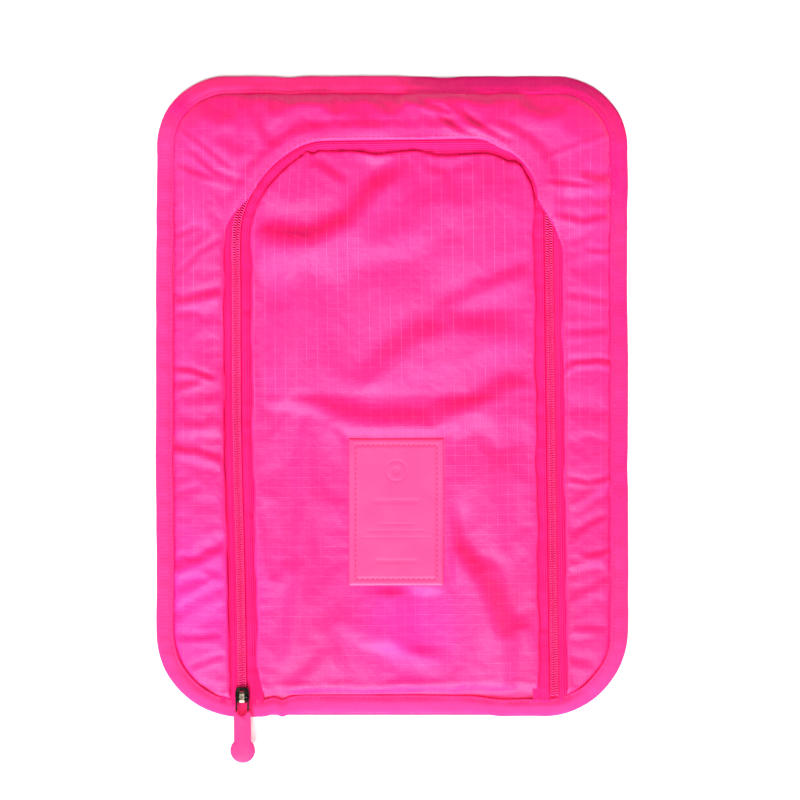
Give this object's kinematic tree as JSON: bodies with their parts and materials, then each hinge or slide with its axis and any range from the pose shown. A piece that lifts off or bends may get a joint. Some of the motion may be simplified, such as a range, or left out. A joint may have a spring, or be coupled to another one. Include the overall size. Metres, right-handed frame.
{
  "type": "travel shoe bag",
  "caption": "Flat fabric shoe bag for packing, with a bound edge, an arched zip round a fold-down flap, a label patch and a rubber zip pull.",
  "frame": {"origin": "centre of the back panel's underside, which the bag rests on", "axes": "+X to the right and +Y to the top of the bag as its front is looked at, +Z out of the front"},
  "size_m": [0.242, 0.3504, 0.0142],
  "materials": {
    "ripstop": "thin ripstop nylon with a soft shine",
    "binding_tape": "woven nylon tape",
    "seam_tape": "woven nylon tape",
    "zip_tape": "knitted polyester zip tape",
    "zip_coil": "polyester monofilament",
    "thread": "polyester thread",
    "label": "smooth coated patch",
    "slider_metal": "dark plated zinc",
    "spring_steel": "sheet spring",
    "wire_metal": "black coated wire",
    "pull_rubber": "smooth moulded rubber"
  },
  "bodies": {
    "bag": {"back_panel": "ripstop", "edge_binding": "binding_tape", "binding_thread": "thread", "front_surround": "ripstop", "surround_thread": "thread", "surround_seam_tape": "seam_tape", "zip_tape_outer": "zip_tape", "zip_coil_outer": "zip_coil", "inner_tape_tails": "zip_tape", "inner_coil_tails": "zip_coil", "panel_foot": "ripstop"},
    "flap": {"front_panel": "ripstop", "zip_tape_inner": "zip_tape", "zip_coil_inner": "zip_coil", "panel_seam_tape": "seam_tape", "label_patch": "label", "label_stitches": "thread"},
    "slider": {"slider_body": "slider_metal", "slider_bail": "slider_metal", "lock_spring": "spring_steel"},
    "pull": {"pull_wire": "wire_metal", "pull_tab": "pull_rubber"}
  },
  "joints": [
    {"name": "flap_fold", "type": "hinge", "parent": "bag", "child": "flap", "pos_m": [0.00149, -0.11405, 0.00627], "axis": [0.9999, 0.0131, 0.0003], "range_deg": [0, 110]},
    {"name": "slider_travel", "type": "slide", "parent": "bag", "child": "slider", "axis": [-0.0131, 0.9997, 0.0227], "range_m": [0, 0.23]},
    {"name": "pull_swing", "type": "hinge", "parent": "slider", "child": "pull", "pos_m": [-0.07621, -0.1527, 0.00689], "axis": [-0.9999, -0.0131, -0.0003], "range_deg": [0, 175]}
  ]
}
